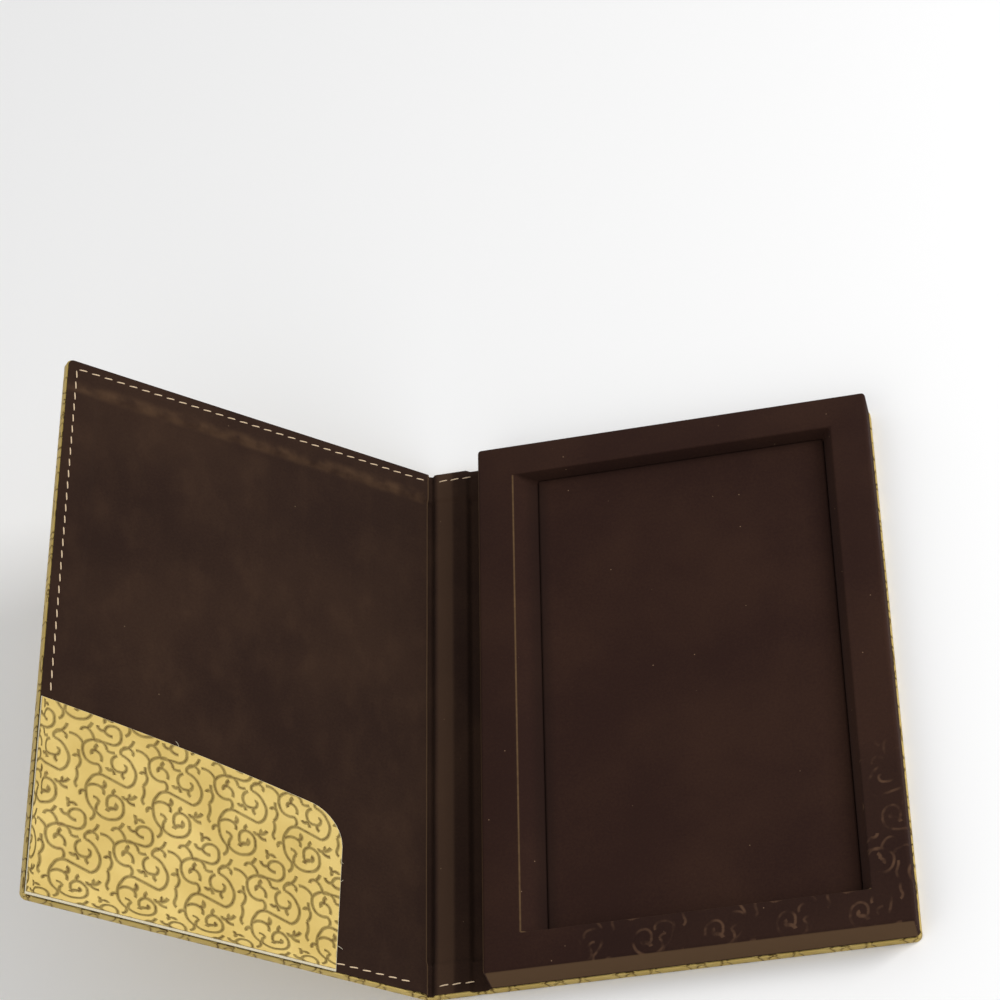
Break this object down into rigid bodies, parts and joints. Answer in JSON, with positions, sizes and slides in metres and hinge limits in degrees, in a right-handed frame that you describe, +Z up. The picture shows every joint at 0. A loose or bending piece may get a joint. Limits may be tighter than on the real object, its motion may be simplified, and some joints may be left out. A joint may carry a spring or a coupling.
{
  "type": "bill folder",
  "caption": "Open bill folder with a stiff hinged cover, a corner pocket inside it and a padded velvet tray on the back cover.",
  "frame": {"origin": "centre of the back cover's underside, on the surface the folder lies on", "axes": "+Z up, out of the tray; +X from the spine to the back cover's fore edge; +Y from the foot of the folder to its head"},
  "size_m": [0.2829, 0.224, 0.1054],
  "materials": {
    "gold_leatherette": "embossed scroll pattern, antiqued gold, satin",
    "suede_lining": "short brown nap, matte",
    "tray_velvet": "dark brown velvet",
    "greyboard": "raw board, hidden",
    "frame_wood": "raw fibreboard, hidden"
  },
  "bodies": {
    "back": {"back_cover_skin": "gold_leatherette", "back_cover_board": "greyboard", "back_cover_lining": "suede_lining", "tray_frame": "frame_wood", "tray_velvet_wrap": "tray_velvet", "tray_floor_pad": "tray_velvet"},
    "spine": {"spine_skin": "gold_leatherette", "spine_board": "greyboard", "spine_lining": "suede_lining"},
    "front_cover": {"front_cover_skin": "gold_leatherette", "front_cover_board": "greyboard", "front_cover_lining": "suede_lining", "bill_pocket": "gold_leatherette"}
  },
  "joints": [
    {"name": "spine_hinge", "type": "hinge", "parent": "back", "child": "spine", "pos_m": [-0.076, 0, 0.0004], "axis": [0, 1, 0], "range_deg": [0, 90]},
    {"name": "cover_hinge", "type": "hinge", "parent": "spine", "child": "front_cover", "pos_m": [-0.0946, 0, 0.0004], "axis": [0, 1, 0], "range_deg": [-42.5, 47.5]}
  ]
}
